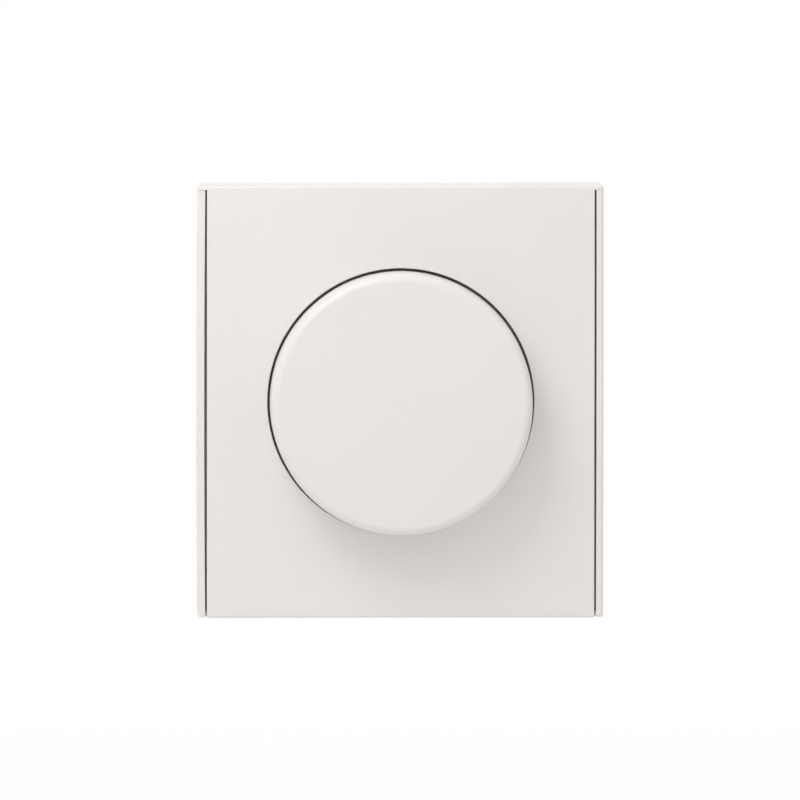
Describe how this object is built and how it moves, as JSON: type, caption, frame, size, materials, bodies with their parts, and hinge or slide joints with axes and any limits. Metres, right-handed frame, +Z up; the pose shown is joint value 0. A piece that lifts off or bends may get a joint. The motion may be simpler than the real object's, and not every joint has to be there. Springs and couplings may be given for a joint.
{
  "type": "rotary dimmer switch",
  "caption": "Flush wall dimmer: white frame with side rails, centre plate and large push-and-turn knob, on a metal ring and terminal insert.",
  "frame": {"origin": "middle of the two box screws, on the knob's axis, at the wall's surface", "axes": "+Z up, the front faces -Y, +X to the right as seen from the front"},
  "size_m": [0.0807, 0.0533, 0.0859],
  "materials": {
    "cover_frame": "satin moulded white",
    "centre_plate": "satin moulded white",
    "knob": "satin moulded white",
    "spring_steel": "bright spring strip",
    "zinc_steel": "zinc plated",
    "shaft_steel": "turned",
    "brass": "turned",
    "tinned": "tinned",
    "grey_plastic": "fine moulded texture",
    "black_plastic": "moulded",
    "phenolic": "pressed laminate",
    "white_plastic": "moulded",
    "blue_plastic": "moulded",
    "board": "solder mask",
    "aluminium": "mill finish",
    "ferrite": "coated",
    "copper": "enamelled copper",
    "capacitor_case": "moulded box",
    "capacitor_dip": "dipped",
    "resistor_coat": "lacquered",
    "glass": "clear"
  },
  "bodies": {
    "root": {"cover_frame": "cover_frame", "centre_plate": "centre_plate", "plate_washer": "zinc_steel", "plate_nut": "brass", "support_ring": "zinc_steel", "pot_bush": "brass", "pot_case": "black_plastic", "pot_track": "phenolic", "pot_tags": "brass", "switch_case": "black_plastic", "switch_contacts": "brass", "switch_spring": "spring_steel", "insert_cup": "grey_plastic", "rear_cover": "grey_plastic", "cup_screws": "zinc_steel", "circuit_board": "board", "heat_sink": "aluminium", "triac": "black_plastic", "triac_screw": "zinc_steel", "choke_core": "ferrite", "choke_winding": "copper", "film_capacitor": "capacitor_case", "small_capacitor": "capacitor_dip", "resistors": "resistor_coat", "fuse_tube": "glass", "fuse_caps": "tinned", "fuse_clips": "spring_steel", "trimmer_body": "blue_plastic", "terminal_bars": "tinned"},
    "plunger": {"switch_plunger": "white_plastic"},
    "knob": {"knob": "knob", "knob_clip": "spring_steel", "shaft": "shaft_steel"},
    "wiper": {"wiper_rotor": "black_plastic", "wiper_contact": "spring_steel"},
    "trimmer": {"trimmer_spindle": "white_plastic"},
    "screw_1": {"terminal_screw_1": "zinc_steel"},
    "clamp_1": {"terminal_clamp_1": "brass"},
    "screw_2": {"terminal_screw_2": "zinc_steel"},
    "clamp_2": {"terminal_clamp_2": "brass"},
    "screw_3": {"terminal_screw_3": "zinc_steel"},
    "clamp_3": {"terminal_clamp_3": "brass"},
    "claw_screw_right": {"claw_screw_right": "zinc_steel"},
    "claw_nut_right": {"claw_nut_right": "zinc_steel"},
    "claw_right": {"claw_right": "zinc_steel"},
    "claw_screw_left": {"claw_screw_left": "zinc_steel"},
    "claw_nut_left": {"claw_nut_left": "zinc_steel"},
    "claw_left": {"claw_left": "zinc_steel"}
  },
  "joints": [
    {"name": "knob_push", "type": "slide", "parent": "root", "child": "plunger", "axis": [0, 1, 0], "range_m": [0, 0.0012], "stiffness_N_per_m": 2500, "springref_m": -0.001, "deforming": ["switch_spring"]},
    {"name": "knob_turn", "type": "hinge", "parent": "plunger", "child": "knob", "pos_m": [0, 0, 0], "axis": [0, 1, 0], "range_deg": [0, 270]},
    {"name": "wiper_turn", "type": "hinge", "parent": "root", "child": "wiper", "pos_m": [0, 0, 0], "axis": [0, 1, 0], "range_deg": [0, 270]},
    {"name": "trimmer_turn", "type": "hinge", "parent": "root", "child": "trimmer", "pos_m": [0.012, 0, 0.014], "axis": [0, 1, 0], "range_deg": [0, 240]},
    {"name": "terminal_clamp_1_slide", "type": "slide", "parent": "root", "child": "clamp_1", "axis": [0, 1, 0], "range_m": [0, 0.0024]},
    {"name": "terminal_screw_1_turn", "type": "hinge", "parent": "root", "child": "screw_1", "pos_m": [-0.011, 0.03, -0.01], "axis": [0, -1, 0], "range_deg": [0, 1440]},
    {"name": "terminal_clamp_2_slide", "type": "slide", "parent": "root", "child": "clamp_2", "axis": [0, 1, 0], "range_m": [0, 0.0024]},
    {"name": "terminal_screw_2_turn", "type": "hinge", "parent": "root", "child": "screw_2", "pos_m": [0, 0.03, -0.01], "axis": [0, -1, 0], "range_deg": [0, 1440]},
    {"name": "terminal_clamp_3_slide", "type": "slide", "parent": "root", "child": "clamp_3", "axis": [0, 1, 0], "range_m": [0, 0.0024]},
    {"name": "terminal_screw_3_turn", "type": "hinge", "parent": "root", "child": "screw_3", "pos_m": [0.011, 0.03, -0.01], "axis": [0, -1, 0], "range_deg": [0, 1440]},
    {"name": "claw_nut_right_slide", "type": "slide", "parent": "root", "child": "claw_nut_right", "axis": [0, -1, 0], "range_m": [0, 0.0035]},
    {"name": "claw_screw_right_turn", "type": "hinge", "parent": "root", "child": "claw_screw_right", "pos_m": [0.0232, 0, 0], "axis": [0, 1, 0], "range_deg": [0, 2520]},
    {"name": "claw_right_spread", "type": "slide", "parent": "root", "child": "claw_right", "axis": [0.4472, -0.8944, 0], "range_m": [0, 0.00391]},
    {"name": "claw_nut_left_slide", "type": "slide", "parent": "root", "child": "claw_nut_left", "axis": [0, -1, 0], "range_m": [0, 0.0035]},
    {"name": "claw_screw_left_turn", "type": "hinge", "parent": "root", "child": "claw_screw_left", "pos_m": [-0.0232, 0, 0], "axis": [0, 1, 0], "range_deg": [0, 2520]},
    {"name": "claw_left_spread", "type": "slide", "parent": "root", "child": "claw_left", "axis": [-0.4472, -0.8944, 0], "range_m": [0, 0.00391]}
  ],
  "couplings": [
    {"joint": "wiper_turn", "follows": "knob_turn", "ratio": 1},
    {"joint": "terminal_screw_1_turn", "follows": "terminal_clamp_1_slide", "rad_per_m": 10472},
    {"joint": "terminal_screw_2_turn", "follows": "terminal_clamp_2_slide", "rad_per_m": 10472},
    {"joint": "terminal_screw_3_turn", "follows": "terminal_clamp_3_slide", "rad_per_m": 10472},
    {"joint": "claw_screw_right_turn", "follows": "claw_nut_right_slide", "rad_per_m": 12566},
    {"joint": "claw_right_spread", "follows": "claw_nut_right_slide", "ratio": 1.118},
    {"joint": "claw_screw_left_turn", "follows": "claw_nut_left_slide", "rad_per_m": 12566},
    {"joint": "claw_left_spread", "follows": "claw_nut_left_slide", "ratio": 1.118}
  ]
}
